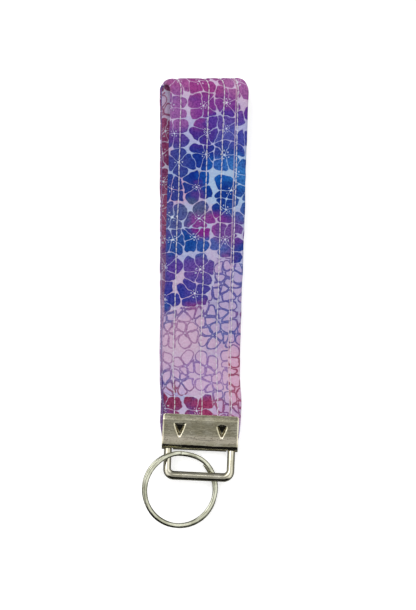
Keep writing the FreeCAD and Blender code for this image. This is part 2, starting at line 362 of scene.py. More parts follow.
# In flower sizes
PETAL_MIDDLE = 0.33
PETAL_RADIUS = 0.315
PETAL_LENGTH = 0.92  # below 1 is longer than wide
STAMEN_RING = 0.135


def patch_mask(sh, x, s, patch, wobble):
    """1 in the middle of a soft, ragged patch and 0 outside it."""
    middle_x, middle_s, half_width, half_length = (float(value) for value in patch[:4])
    across = sh.math("DIVIDE", sh.minus(x, middle_x), half_width)
    along = sh.math("DIVIDE", sh.minus(s, middle_s), half_length)
    return sh.step(sh.plus(sh.length(across, along), wobble), 1.25, 0.55)


def flowers(sh, place, size, randomness, gap, soft):
    """A field of four- and five-petalled flowers that fill the cloth, with thin gaps between their petals.
    Returns how deep a point is in its petal, its distance from the flower's middle and its angle from the
    petal's middle, in flower sizes, then the flower's middle and three random numbers for each flower."""
    cells = sh.node("ShaderNodeTexVoronoi", voronoi_dimensions="2D", feature="F1")
    border = sh.node("ShaderNodeTexVoronoi", voronoi_dimensions="2D", feature="DISTANCE_TO_EDGE")
    for made in (cells, border):
        sh.put(made.inputs["Vector"], place)
        made.inputs["Scale"].default_value = 1 / size
        made.inputs["Randomness"].default_value = randomness
    middle = cells.outputs["Position"]
    dx, dy, _ = sh.parts(sh.scaled(sh.vector("SUBTRACT", place, middle), 1 / size))
    chance = sh.parts(cells.outputs["Color"])
    angle = sh.plus(sh.math("ARCTAN2", dy, dx), sh.times(chance[0], 6.3))
    count = sh.plus(4.0, sh.math("GREATER_THAN", chance[1], 0.35))
    half_sector = sh.math("DIVIDE", math.pi, count)
    within = sh.math("ABSOLUTE", sh.math("WRAP", angle, half_sector, sh.times(half_sector, -1.0)))
    radius = sh.length(dx, dy)
    to_side = sh.times(radius, sh.math("SINE", sh.minus(half_sector, within)))
    forward = sh.minus(sh.times(radius, sh.math("COSINE", within)), PETAL_MIDDLE)
    aside = sh.times(radius, sh.math("SINE", within))
    to_round = sh.minus(PETAL_RADIUS, sh.length(sh.times(forward, PETAL_LENGTH), aside))
    depth = sh.math("SMOOTH_MIN", border.outputs["Distance"], to_side, soft)
    depth = sh.math("SMOOTH_MIN", depth, to_round, 0.10)
    return sh.minus(depth, gap), radius, within, middle, chance


def dyes(sh, cloth, beyond):
    """The dyes of the petals and of the ground, and 1 on the outer face of the upper layer. beyond is 1 past the
    cotton's folded edge."""
    x, s, _ = sh.parts(cloth)
    spread = sh.parts(sh.noise(sh.scaled(cloth, 0.16), 1.0, 4.0, 0.6, colour=True))
    petal_edge = sh.times(sh.minus(spread[0], 0.5), 1.5)
    ground_edge = sh.times(sh.minus(spread[1], 0.5), 1.3)
    drift = sh.noise(sh.scaled(cloth, 0.034), 1.0, 3.0, 0.55)
    petal = sh.ramp(drift, DRIFTING_PETALS)
    ground = sh.ramp(drift, DRIFTING_GROUND)
    upper = sh.times(sh.math("LESS_THAN", x, OUTER_FACE), sh.step(s, TOP_FOLD[1], TOP_FOLD[0]))
    for patch in PETAL_PATCHES:
        mask = sh.times(patch_mask(sh, x, s, patch, petal_edge), sh.times(upper, patch[5]))
        petal = sh.mix(mask, petal, patch[4])
    for patch in GROUND_PATCHES:
        mask = sh.times(patch_mask(sh, x, s, patch, ground_edge), sh.times(upper, patch[5]))
        ground = sh.mix(mask, ground, patch[4])
    last = [(EDGE_PATCH, beyond, rgb(226, 150, 184))]
    last += [(patch, 1.0, rgb(224, 184, 210)) for patch in REAR_PATCHES]
    for patch, where, pale in last:
        mask = sh.times(patch_mask(sh, x, s, patch, ground_edge), where)
        petal = sh.mix(mask, petal, patch[4])
        ground = sh.mix(sh.times(mask, 0.7), ground, pale)
    return petal, ground, upper


def stamens(sh, far, turn):
    """Dots in the middle of a flower and round it. far and turn are a point's distance and angle."""
    ring = sh.math("ABSOLUTE", sh.minus(far, STAMEN_RING))
    round_dots = sh.times(sh.step(ring, 0.026, 0.010), sh.step(turn, 0.24, 0.10))
    return sh.math("MAXIMUM", sh.step(far, 0.045, 0.020), round_dots)


def printed_cotton():
    """Plain-weave cotton with a batik print of flowers, dyed in soft patches."""
    sh = Shader("printed_cotton")
    cloth = sh.node("ShaderNodeAttribute", attribute_name="cloth").outputs["Vector"]
    x, s, _ = sh.parts(cloth)
    place = cloth
    for density, reach in ((0.13, 5.0), (0.55, 0.6)):
        wander = sh.noise(sh.scaled(cloth, density), 1.0, 2.0, colour=True)
        place = sh.vector("ADD", place, sh.scaled(sh.vector("SUBTRACT", wander, (0.5, 0.5, 0.5)), reach))

    # The cotton is folded over itself: past its folded edge another part of the print shows.
    past_edge = sh.math("GREATER_THAN", x, OVERLAP_X / MM)
    beyond = sh.times(past_edge, sh.math("LESS_THAN", x, OUTER_FACE + 3.0))
    moved = sh.scaled(OVERLAP_SHIFT, beyond)
    place = sh.vector("ADD", place, moved)
    big, radius, within, middle, chance = flowers(sh, place, BIG_FLOWER, 0.42, 0.0, 0.15)
    place = sh.vector("ADD", place, SMALL_SHIFT)
    small, small_radius, small_within, _, _ = flowers(sh, place, SMALL_FLOWER, 0.45, -0.004, 0.18)
    petal, ground, upper = dyes(sh, cloth, beyond)

    # A whole flower is either filled or gives way to smaller, outlined ones.
    middle_x, middle_s, _ = sh.parts(sh.vector("SUBTRACT", middle, moved))
    outlined = sh.times(sh.math("GREATER_THAN", chance[0], 0.80), sh.minus(1.0, upper))
    for patch in OUTLINE_PATCHES:
        mask = sh.math("GREATER_THAN", patch_mask(sh, middle_x, middle_s, patch, 0.0), 0.5)
        outlined = sh.math("MAXIMUM", outlined, sh.times(mask, upper))

    # Batik: the dye is uneven inside a petal, and each flower takes it differently.
    mottle = sh.noise(sh.scaled(cloth, 1.1), 1.0, 4.0, 0.65)
    shade = sh.plus(sh.times(chance[2], 0.35), sh.times(mottle, 0.55))
    petal = sh.mix(sh.step(shade, 0.25, 0.85), petal, sh.mix(0.22, petal, ground))
    petal = sh.mix(sh.step(mottle, 0.58, 0.36), petal, sh.tinted(petal, (0.60, 0.56, 0.68, 1)))
    ground = sh.mix(sh.step(mottle, 0.35, 0.7), ground, sh.mix(0.25, ground, (0.90, 0.84, 0.92, 1)))
    between = sh.mix(0.18, ground, (0.88, 0.80, 0.90, 1))
    filled = sh.mix(sh.step(big, -0.002, 0.018), between, petal)

    line = sh.times(sh.step(small, -0.010, 0.012), sh.step(small, 0.072, 0.040))
    drawn = sh.mix(sh.step(small, 0.02, 0.08), ground, sh.mix(0.28, ground, rgb(226, 170, 208)))
    drawn = sh.mix(sh.times(line, 0.86), drawn, petal)
    colour = sh.mix(outlined, filled, drawn)
    # A thin pale line along the cotton's folded edge is a painted highlight.
    from_edge_highlight = sh.math("ABSOLUTE", sh.minus(x, OVERLAP_X / MM))
    colour = sh.mix(sh.times(sh.step(from_edge_highlight, 0.30, 0.10), 0.45), colour, rgb(236, 196, 200))
    for far, turn, chosen in (
        (radius, within, sh.minus(1.0, outlined)),
        (small_radius, small_within, sh.times(outlined, 0.5)),
    ):
        shown = sh.times(stamens(sh, far, turn), sh.times(chosen, 0.6))
        colour = sh.mix(shown, colour, (0.90, 0.85, 0.94, 1))

    # Plain weave: warp and weft threads, seen in the relief and a little in the colour
    warp = sh.math("SINE", sh.times(x, 2 * math.pi / WARP_PITCH))
    weft = sh.math("SINE", sh.times(s, 2 * math.pi / WEFT_PITCH))
    weave = sh.times(warp, weft)
    slubs = [sh.noise(sh.vector("MULTIPLY", cloth, way), 1.0, 2.0) for way in ((7.0, 0.5, 1.0), (0.5, 7.0, 1.0))]
    thread = sh.plus(sh.times(weave, 0.10), sh.plus(*slubs))
    colour = sh.mix(sh.step(thread, 0.85, 1.25), sh.tinted(colour, (0.84, 0.84, 0.86, 1)), colour)
    relief = sh.plus(sh.times(weave, 0.5), sh.times(thread, 0.6))
    sh.set(
        Base_Color=sh.tinted(colour, (1.13, 1.32, 1.28, 1)),
        Normal=sh.bump(relief, 0.05 * MM, 0.8),
        Roughness=sh.step(mottle, -1.2, 1.0),
        Sheen_Weight=0.05,
        Sheen_Roughness=0.5,
        Specular_IOR_Level=0.08,
    )
    return sh.material


def sewing_thread():
    """White two-ply polyester thread."""
    sh = Shader("sewing_thread")
    place = sh.node("ShaderNodeAttribute", attribute_name="cloth").outputs["Vector"]
    _, s, turn = sh.parts(place)
    ply = sh.math("SINE", sh.plus(sh.times(s, 9.0), sh.times(turn, 2.0)))
    fuzz = sh.noise(sh.scaled(place, 3.0), 1.0, 3.0)
    tone = sh.mix(sh.step(fuzz, 0.3, 0.7), rgb(232, 224, 238), rgb(253, 250, 253))
    # The grooves between the two plies are darkened: painted shade.
    tone = sh.mix(sh.step(ply, -1.0, 0.2), sh.tinted(tone, (0.90, 0.88, 0.93, 1)), tone)
    sh.set(Base_Color=tone, Normal=sh.bump(ply, 0.05 * MM, 0.9), Roughness=sh.step(fuzz, -0.9, 1.2))
    sh.set(Sheen_Weight=0.15, Sheen_Roughness=0.4)
    return sh.material


def nickel(name, tones, blotch, scratch_turn, wave, brown_reflection, highlight_band=0.0):
    """Polished nickel plate: warm, slightly uneven from the press, with fine scratches, brownish patches that are
    painted reflection and a paler band across it that is a painted highlight. blotch is how dense the press marks
    are each way, and wave their height in millimetres."""
    sh = Shader(name)
    place = sh.scaled(sh.node("ShaderNodeTexCoord").outputs["Object"], 1 / MM)
    cloud = sh.noise(place, 0.22, 3.0)
    tone = sh.mix(sh.step(cloud, 0.3, 0.7), *tones)
    _, y, _ = sh.parts(place)
    # A paler band across the plate is a painted highlight.
    from_highlight_band = sh.math("ABSOLUTE", sh.plus(y, sh.plus(2.2, cloud)))
    tone = sh.mix(sh.times(sh.step(from_highlight_band, 2.4, 0.4), highlight_band), tone, rgb(250, 240, 222))
    # Brownish patches at random are painted reflection; the same noise also roughens the nickel.
    brown_patches = sh.noise(place, 1.3, 5.0, 0.7)
    tone = sh.mix(sh.times(sh.step(brown_patches, 0.50, 0.74), brown_reflection), tone, rgb(140, 116, 94))
    scratch_space = sh.node("ShaderNodeMapping")
    sh.put(scratch_space.inputs["Vector"], place)
    scratch_space.inputs["Rotation"].default_value = (0, 0, scratch_turn)
    scratch_space.inputs["Scale"].default_value = (0.35, 9.0, 2.0)
    hair = sh.noise(scratch_space.outputs[0], 1.0, 2.0, 0.6)
    scratch = sh.step(hair, 0.66, 0.74)
    dent = sh.noise(sh.vector("MULTIPLY", place, blotch), 1.0, 3.0, 0.5)
    rough = sh.plus(sh.times(brown_patches, 0.12), sh.times(scratch, 0.18))
    soft = sh.bump(dent, wave * MM, 1.0)
    sh.set(
        Base_Color=tone,
        Metallic=1.0,
        Roughness=sh.plus(rough, 0.04),
        Normal=sh.bump(scratch, 0.01 * MM, 0.5, soft),
    )
    return sh.material


# ---- mesh helpers ----------------------------------------------------------------------------------------------


def new_piece(name, points, faces, material, cloth=None, smooth=True):
    """A mesh object from its points and faces. cloth, if given, is each point's place on the flat cloth."""
    mesh = bpy.data.meshes.new(name)
    mesh.from_pydata([tuple(p) for p in points], [], faces)
    if cloth is not None:
        attribute = mesh.attributes.new("cloth", "FLOAT_VECTOR", "POINT")
        attribute.data.foreach_set("vector", np.asarray(cloth, np.float32).ravel())
    mesh.materials.append(material)
    mesh.validate()
    made = bpy.data.objects.new(name, mesh)
    bpy.context.scene.collection.objects.link(made)
    if smooth:
        mesh.shade_smooth()
    return made


def grid_faces(rows, columns, wrap_rows=False, wrap_columns=False, start=0):
    """Quads of a grid of points, row by row."""
    faces = []
    for i in range(rows if wrap_rows else rows - 1):
        here, above = start + i * columns, start + (i + 1) % rows * columns
        for j in range(columns if wrap_columns else columns - 1):
            after = (j + 1) % columns
            faces.append((here + j, here + after, above + after, above + j))
    return faces


def end_faces(rows, columns):
    """The two many-sided faces that close a tube's first and last rows."""
    return [tuple(reversed(range(columns))), tuple(range((rows - 1) * columns, rows * columns))]


def soften(piece, width):
    """Rounds a metal piece's sharp edges."""
    soft = piece.modifiers.new("soft_edges", "BEVEL")
    soft.width = width
    soft.segments = 2
    soft.limit_method = "ANGLE"
    soft.angle_limit = math.radians(50)


def smooth_step(t):
    t = np.clip(t, 0, 1)
    return t * t * (3 - 2 * t)


def ripple(seed, places, pitch):
    """Smooth random values from -1 to 1 at places along a line, changing over about one pitch."""
    knots = np.random.default_rng(seed).uniform(-1, 1, 4096)
    t = np.asarray(places) / pitch + 1000
    low = np.floor(t).astype(int)
    part = smooth_step(t - low)
    return knots[low % 4096] * (1 - part) + knots[(low + 1) % 4096] * part


# ---- strap -----------------------------------------------------------------------------------------------------


def strap_route():
    """The strap's middle line in the side view: points an even step apart, their outward normals, and how far
    along the line each is."""
    low = LAYER / 2
    spacing = LAYER + LAYER_GAP
    high = low + spacing
    held_low, held_high = MIDDLE_Z - spacing / 2, MIDDLE_Z + spacing / 2
    fold_y = STRAP_TOP - low - FOLD_RADIUS
    fold_z = low + FOLD_RADIUS
    rise = math.atan2(fold_z - high, fold_y - OPENS)
    rise += math.asin(FOLD_RADIUS / math.hypot(fold_z - high, fold_y - OPENS))
    corner_z = high + (fold_y + FOLD_RADIUS - OPENS) * math.tan(rise)
    corners = [
        # y, z, radius of the bend there
        (STRAP_END, held_high, 0),
        (LEAVES_CLAMP, held_high, SOFT_BEND),
        (LIES_FLAT, high, SOFT_BEND),
        (OPENS, high, SOFT_BEND),
        (fold_y + FOLD_RADIUS, corner_z, FOLD_RADIUS),
        (fold_y + FOLD_RADIUS, low, FOLD_RADIUS),
        (LIES_FLAT, low, SOFT_BEND),
        (LEAVES_CLAMP, held_low, SOFT_BEND),
        (STRAP_END, held_low, 0),
    ]
    line = [np.array(corners[0][:2])]
    for before, here, after in zip(corners, corners[1:], corners[2:]):
        p, q, r = (np.array(c[:2]) for c in (before, here, after))
        u, v = (q - p) / np.linalg.norm(q - p), (r - q) / np.linalg.norm(r - q)
        turn = math.atan2(u[0] * v[1] - u[1] * v[0], u @ v)
        reach = here[2] * math.tan(abs(turn) / 2)
        centre = q - u * reach + np.array((-u[1], u[0])) * math.copysign(here[2], turn)
        spoke = q - u * reach - centre
        for part in np.linspace(0, 1, max(4, int(abs(turn) * here[2] / (0.3 * MM)))):
            c, s = math.cos(turn * part), math.sin(turn * part)
            line.append(centre + np.array((c * spoke[0] - s * spoke[1], s * spoke[0] + c * spoke[1])))
    line.append(np.array(corners[-1][:2]))
    line = np.array(line)
    length = np.concatenate([[0], np.cumsum(np.linalg.norm(np.diff(line, axis=0), axis=1))])
    steps = int(length[-1] / (0.56 * MM))
    even = np.linspace(0, length[-1], steps)
    points = np.stack([np.interp(even, length, line[:, k]) for k in (0, 1)], axis=1)
    tangent = np.gradient(points, axis=0)
    tangent /= np.linalg.norm(tangent, axis=1)[:, None]
    return points, np.stack([-tangent[:, 1], tangent[:, 0]], axis=1), even


# The top of the loop, taken from the CAD box less what the lean adds to it
STRAP_TOP = STRAP_HIGH[1] - STRAP_WIDTH / 2 * math.sin(LEAN) - 0.2 * MM
ROUTE, ROUTE_OUT, ROUTE_AT = strap_route()
ROUTE_LENGTH = ROUTE_AT[-1]


def strap_sideways(y, z):
    """Where the strap's middle is across the table, and how much the strap is turned there. It is straight in
    the clamp, then it leans, and its upper layer drifts to the right of its lower one."""
    past = np.maximum(y - FLEX.y + 3 * MM, 0)
    lean = LEAN * smooth_step(past / (10 * MM))
    return STRAP_X + SKEW * (z - MIDDLE_Z) - np.tan(lean) * past, lean


def row_offset(place, at):
    """How far a quilting row is from the strap's middle, wandering a little as hand-guided sewing does."""
    seed = int(place * 1000)
    wander = 0.16 * MM * ripple(seed, at, 21 * MM) + 0.07 * MM * ripple(seed + 1, at, 6 * MM)
    return (place - 0.5) * STRAP_WIDTH + wander


def strap_point(index, across, out):
    """Points on the strap: by index along the route, across from its middle, and out from its middle line."""
    y, z = ROUTE[index].T
    out_y, out_z = ROUTE_OUT[index].T
    middle, lean = strap_sideways(y, z)
    x = middle + across * np.cos(lean)
    return np.stack([x, y + across * np.sin(lean) + out * out_y, z + out * out_z], axis=-1)


def clamped(y):
    """1 inside the clamp and 0 a little past its mouth."""
    return smooth_step((MOUTH + 3 * MM - y) / (4 * MM))


def puff(across, at, y, face):
    """How far the strap's skin stands out from its middle line. It is drawn in along the quilting rows, with
    small puckers between the stitches, and it is full between the rows."""
    nearest = np.full(np.broadcast(across, at).shape, 1.0)
    pinch = np.zeros_like(nearest)
    for k, place in enumerate(ROW_PLACES):
        away = np.abs(across - row_offset(place, at))
        nearest = np.minimum(nearest, away)
        hole = 0.5 + 0.5 * np.cos(2 * np.pi * at / STITCH + k)
        pinch += np.exp(-((away / (0.80 * MM)) ** 2)) * (0.36 + 0.12 * hole) * MM
    seed = 11 if face > 0 else 29
    pucker = np.zeros_like(nearest)
    for n, (pitch, size) in enumerate(PUCKERS):
        # Puckers run across the rows and slant a little.
        slant = at + across * (0.25 + 0.1 * n)
        pucker += size * ripple(seed + n, slant, pitch) * np.exp(-nearest / (2.6 * MM))
        pucker += 0.5 * size * ripple(seed + 50 + n, slant * 0.8 + across * 1.7, pitch * 1.3)
    soft = 0.16 * MM * (1 - np.exp(-((nearest / (1.9 * MM)) ** 2)))
    free = 1 - clamped(y)
    body = SKIN - pinch + soft * (0.4 + 0.6 * free) + pucker
    if face > 0:
        folded_edge = row_offset(ROW_PLACES[-1], at) - OVERLAP_FROM_ROW
        body = body + OVERLAP_RISE * smooth_step((across - folded_edge) / (0.4 * MM) + 0.5)
    return np.where(free < 1, body * free + (SKIN - 0.02 * MM) * (1 - free), body)


def strap_skin():
    """The whole strap, a closed padded band from one cut end to the other. Each of its columns runs the whole
    length of the strap, and together they go once round it."""
    half = STRAP_WIDTH / 2
    flat_half = half - EDGE
    flat_steps, edge_steps = 74, 7
    at, y = ROUTE_AT[:, None], ROUTE[:, 0][:, None]
    across = np.linspace(-1, 1, flat_steps)[None, :] * (flat_half + 0 * at)
    outer = puff(across, at, y, 1)
    inner = -puff(across, at, y, -1)

    def edge(way, first, second, wave, seam, mark):
        """A rounded long edge from one face to the other, with a sewn-up seam in its middle."""
        made = []
        for turn in np.linspace(0, math.pi, edge_steps + 2)[1:-1]:
            share = (1 - math.cos(turn)) / 2
            place = way * (flat_half + EDGE * math.sin(turn)) + wave * math.sin(turn)
            place -= seam * math.exp(-(((turn - math.pi / 2) / 0.28) ** 2))
            out = math.cos(turn) * (first * (1 - share) - second * share)
            made.append((place, out, mark + 2 * EDGE * turn / math.pi))
        return made

    # The long edges waver. A column's mark is its place across the flat cloth.
    wave_left = 0.16 * MM * ripple(3, ROUTE_AT, 9 * MM) + 0.09 * MM * ripple(4, ROUTE_AT, 3.2 * MM)
    wave_right = 0.16 * MM * ripple(5, ROUTE_AT, 8 * MM) + 0.09 * MM * ripple(6, ROUTE_AT, 2.9 * MM)
    columns = [(across[:, j], outer[:, j], half + across[0, j]) for j in range(flat_steps)]
    columns += edge(1, outer[:, -1], inner[:, -1], wave_right, 0.16 * MM, half + flat_half)
    columns += [(across[:, j], inner[:, j], 40 * MM + half - across[0, j]) for j in reversed(range(flat_steps))]
    columns += edge(-1, inner[:, 0], outer[:, 0], wave_left, 0.0, -2 * EDGE)

    rows, count = len(ROUTE_AT), len(columns)
    points = np.stack([strap_point(np.arange(rows), place, out) for place, out, _ in columns], axis=1)
    marks = np.zeros((rows, count, 3))
    marks[:, :, 0] = [mark / MM for _, _, mark in columns]
    marks[:, :, 1] = at / MM
    points = points.reshape(-1, 3)
    squeeze_beside_clamp(points, np.stack([place + 0 * ROUTE_AT for place, _, _ in columns], axis=1).ravel())
    press_under_teeth(points)
    points[:, 2] = rest_on_table(points[:, 2])
    faces = grid_faces(rows, count, wrap_columns=True)
    faces.extend(tuple(reversed(face)) for face in end_faces(rows, count))
    skin = new_piece("strap", points, faces, COTTON, marks.reshape(-1, 3))
    flip_to_outside(skin)
    return skin


def squeeze_beside_clamp(points, across):
    """Rounds the top fold's corners, and pulls the cloth beside the clamp in and down past the wire loop's legs."""
    corner = np.clip((np.abs(across / MM) - 12.4) / 4.0, 0, 1) ** 2
    points[:, 1] -= 1.0 * MM * corner * smooth_step((points[:, 1] - (STRAP_TOP - 7 * MM)) / (6 * MM))
    outside = smooth_step((np.abs(points[:, 0]) - (CLAMP_HIGH[0] - 0.7 * MM)) / (0.6 * MM))
    low = smooth_step((STRAP_END + 9 * MM - points[:, 1]) / (9 * MM))
    points[:, 1] -= outside * low * 3.2 * MM
    spare = np.maximum(np.abs(points[:, 0]) - (CLAMP_HIGH[0] - 0.3 * MM), 0)
    slim = smooth_step((points[:, 1] - (CLAMP_LOW[1] + 1.5 * MM)) / (11 * MM))
    points[:, 0] -= np.sign(points[:, 0]) * spare * (1 - slim)


def rest_on_table(z):
    """Heights of soft cloth, with whatever would sink into the table pressed almost flat on it."""
    floor = 0.03 * MM
    return np.maximum(z, floor + 0.018 * MM * np.tanh(np.minimum(z - floor, 0) / (0.4 * MM)))


def press_under_teeth(points):
    """Dents the strap's faces where the clamp's teeth bite into it."""
    for centre in TEETH:
        across = np.abs(points[:, 0] - centre)
        run = TOOTH_ROOT - points[:, 1]
        half = TOOTH_WIDTH / 2 * np.clip(1 - run / TOOTH_LENGTH, 0, 1) + 0.5 * MM
        near = smooth_step((half + 0.5 * MM - across) / (0.5 * MM))
        near *= smooth_step((run + 0.5 * MM) / (0.8 * MM))
        near *= smooth_step((TOOTH_LENGTH + 0.6 * MM - run) / (0.6 * MM))
        depth = tooth_depth(run) + 1.0 * MM
        for way in (1, -1):
            face = CLAMP_HIGH[2] - depth if way > 0 else CLAMP_LOW[2] + depth
            over = np.maximum((points[:, 2] - face) * way, 0)
            outer = (points[:, 2] - MIDDLE_Z) * way > 1.2 * MM
            points[:, 2] -= way * over * near * outer


def flip_to_outside(piece):
    """Turns the faces so that they all look outwards."""
    work = bmesh.new()
    work.from_mesh(piece.data)
    bmesh.ops.recalc_face_normals(work, faces=work.faces)
    work.to_mesh(piece.data)
    work.free()
    piece.data.shade_smooth()


def tube(path, sizes, normals, sides, closed=False, power=2.0):
    """Points and faces of a tube along a path. sizes are its half width and half height at each point, and
    normals point along its height. Its section is an ellipse, or nearer a rectangle with a power above 2."""
    path = np.asarray(path)
    if closed:
        tangent = np.roll(path, -1, axis=0) - np.roll(path, 1, axis=0)
    else:
        tangent = np.gradient(path, axis=0)
    tangent /= np.linalg.norm(tangent, axis=1)[:, None]
    width = np.cross(normals, tangent)
    width /= np.linalg.norm(width, axis=1)[:, None]
    height = np.cross(tangent, width)
    points = np.zeros((len(path), sides, 3))
    for j in range(sides):
        angle = 2 * math.pi * j / sides
        a, b = math.cos(angle), math.sin(angle)
        reach = sizes / (abs(a) ** power + abs(b) ** power) ** (1 / power)
        points[:, j] = path + width * (reach[:, 0] * a)[:, None] + height * (reach[:, 1] * b)[:, None]
    faces = grid_faces(len(path), sides, wrap_rows=closed, wrap_columns=True)
    if not closed:
        faces += end_faces(len(path), sides)
    return points.reshape(-1, 3), faces


def stitch_row(name, number, place, face):
    """One thread of a quilting row: separate stitches that dip into the cloth at each needle hole."""
    chance = random.Random(number * 10 + (1 if face > 0 else 2))
    start, end = MOUTH - STRAP_END - 1.5 * MM, ROUTE_LENGTH - (MOUTH - STRAP_END) + 1.5 * MM
    phase = -number / (2 * math.pi) * STITCH
    count = int((end - start) / STITCH)
    points, faces, marks = [], [], []
    samples, sides = 7, 8
    rows = np.arange(len(ROUTE_AT))
    t = np.linspace(0, 1, samples)
    for n in range(count):
        first = math.ceil(start / STITCH + n) * STITCH + phase + 0.08 * MM
        at = np.linspace(first, first + STITCH - 0.16 * MM, samples)
        index = np.clip(np.interp(at, ROUTE_AT, rows), 0, rows[-1])
        slant = chance.uniform(-0.07, 0.10) * MM
        lift = chance.uniform(0.85, 1.15)
        across = row_offset(place, at) + slant * (2 * t - 1)
        skin = puff(across, at, np.interp(index, rows, ROUTE[:, 0]), face)
        out = face * (skin - 0.08 * MM + 0.24 * MM * np.sin(math.pi * t) ** 0.6 * lift)
        whole = np.floor(index).astype(int)
        part = (index - whole)[:, None]
        after = np.minimum(whole + 1, rows[-1])
        path = strap_point(whole, across, out) * (1 - part) + strap_point(after, across, out) * part
        path[:, 2] = np.maximum(path[:, 2], THREAD / 2)
        normal = np.stack([0 * t, ROUTE_OUT[whole, 0] * face, ROUTE_OUT[whole, 1] * face], axis=1)
        half = THREAD / 2 * (0.66 + 0.34 * np.sin(math.pi * t) ** 0.5)
        made, quads = tube(path, np.stack([half, half * 0.9], axis=1), normal, sides)
        faces.extend([tuple(v + len(points) for v in quad) for quad in quads])
        points.extend(made)
        for k in range(samples):
            marks.extend([(across[k] / MM, at[k] / MM, 2 * math.pi * side / sides) for side in range(sides)])
    return new_piece(name, points, faces, THREAD_LOOK, marks)


# ---- clamp -----------------------------------------------------------------------------------------------------


PLATE_REACH = math.pi / 2 * MIDDLE_Z + (MOUTH - BEND_Y)


def plate_y(t):
    """How far along the clamp a point of a plate is. t runs over the unfolded plate's outside, from -PLATE_REACH
    at the back plate's mouth, through 0 in the middle of the fold, to PLATE_REACH at the front plate's mouth."""
    return BEND_Y + abs(t) - math.pi / 2 * MIDDLE_Z


def fold_plate(x, t, depth):
    """Folds a point of the flat plate. depth goes in from its outside, and the strip along each mouth is pressed
    in."""
    radius = MIDDLE_Z - depth - CROWN
    way = 1 if t > 0 else -1
    y = plate_y(t)
    if y < BEND_Y:
        angle = abs(t) / MIDDLE_Z
        return (x, BEND_Y - radius * math.cos(angle), MIDDLE_Z + way * radius * math.sin(angle))
    lip = smooth_step((y - (MOUTH - 2.5 * MM)) / (0.6 * MM)) * 0.10 * MM
    lip += max(0.0, y - (MOUTH - 2.2 * MM)) * 0.07
    crown = max(0.0, (1.5 * MM - y) / (1.5 * MM - BEND_Y))
    return (x, y, MIDDLE_Z + way * (radius - lip - CROWN * (crown * crown - 1)))


def tooth_shape(x, t, centre):
    """How far a point of the plate is inside a tooth's opening. Negative is outside."""
    y = plate_y(t)
    half = TOOTH_WIDTH / 2
    arch = TOOTH_ROUND if centre > 0 and t > 0 else 0.0
    slope = math.atan2(half, TOOTH_LENGTH)
    from_tip = y - (TOOTH_ROOT - TOOTH_LENGTH)
    across = abs(x - centre)
    bow = 0.25 * MM * math.sin(math.pi * min(max(from_tip / TOOTH_LENGTH, 0), 1))
    side = from_tip * math.sin(slope) - (across - bow) * math.cos(slope)
    return min(side, TOOTH_ROOT - y - arch * (across / half) ** 2) - RIM


def slot_shape(x, t):
    """How far a point of the plate is inside one of the wire's two slots."""
    front, back = 0.72 * MIDDLE_Z, 2.30 * MIDDLE_Z
    inner, outer = 11.3 * MM, 15.0 * MM
    return min(abs(x) - inner, outer - abs(x), front - t, t + back)


def openings(x, t):
    """How far a point of the plate is inside any of its openings."""
    return max(slot_shape(x, t), *(tooth_shape(x, t, centre) for centre in TEETH))


def slide_onto_rim(x, t, near):
    """Moves a point of the plate that is near an opening's rim onto it. Returns the point and how far inside the
    opening it then is."""
    step = 0.02 * MM
    value = openings(x, t)
    for _ in range(3):
        if abs(value) > near:
            break
        slope_x = (openings(x + step, t) - openings(x - step, t)) / (2 * step)
        slope_t = (openings(x, t + step) - openings(x, t - step)) / (2 * step)
        steep = slope_x * slope_x + slope_t * slope_t
        if steep < 0.2:
            break
        x, t = x - slope_x * value / steep, t - slope_t * value / steep
        value = openings(x, t)
    return x, t, value


def clamp_plate():
    """The folded plate, with drawn-in tooth openings, slots for the wire, rounded corners and soft edges."""
    half_width = CLAMP_HIGH[0]
    cell = 0.30 * MM
    columns, rows = int(2 * half_width / cell) + 1, int(2 * PLATE_REACH / cell) + 1
    points, inside = [], []
    for t in np.linspace(-PLATE_REACH, PLATE_REACH, rows):
        for x in np.linspace(-half_width, half_width, columns):
            px, pt = x, t
            ex, et = abs(x) - (half_width - CORNER), abs(t) - (PLATE_REACH - CORNER)
            if ex > 0 and et > 0:
                pull = max(ex, et) / math.hypot(ex, et)
                px = math.copysign(half_width - CORNER + ex * pull, x)
                pt = math.copysign(PLATE_REACH - CORNER + et * pull, t)
            px, pt, value = slide_onto_rim(px, pt, 0.49 * cell)
            inside.append(value > 0.02 * MM)
            rim = min(-tooth_shape(px, pt, centre) for centre in TEETH)
            drawn = 0.22 * MM * max(0.0, 1 - max(rim, 0) / (RIM * 1.5)) ** 2
            edge = max(0.0, 1 - (half_width - abs(px)) / (0.55 * MM))
            points.append(fold_plate(px, pt, drawn + 0.17 * MM * edge * edge))
    keep = [quad for quad in grid_faces(rows, columns) if not any(inside[corner] for corner in quad)]
    plate = new_piece("clamp_plate", points, keep, CLAMP_LOOK)
    flip_plate(plate)
    thick = plate.modifiers.new("thickness", "SOLIDIFY")
    thick.thickness = PLATE - CLEARANCE
    thick.offset = -1
    soften(plate, 0.13 * MM)
    return plate


def flip_plate(piece):
    """Makes the plate's faces look away from the strap, so that its thickness grows inwards."""
    middle = Vector((0, BEND_Y, MIDDLE_Z))
    work = bmesh.new()
    work.from_mesh(piece.data)
    bmesh.ops.remove_doubles(work, verts=work.verts, dist=0.04 * MM)
    bmesh.ops.delete(work, geom=[v for v in work.verts if not v.link_faces], context="VERTS")
    bmesh.ops.recalc_face_normals(work, faces=work.faces)
    if sum(face.normal.z * (face.calc_center_median() - middle).z for face in work.faces) < 0:
        bmesh.ops.reverse_faces(work, faces=work.faces)
    work.to_mesh(piece.data)
    work.free()
    piece.data.shade_smooth()


def tooth_depth(run):
    """How deep the top of a tooth lies below the plate's outside, a given way from its root: it dives, then
    levels out towards its tip."""
    part = np.clip(run / TOOTH_LENGTH, 0, 1)
    return 0.18 * MM + 1.25 * MM * (1 - (1 - part) ** 1.9)


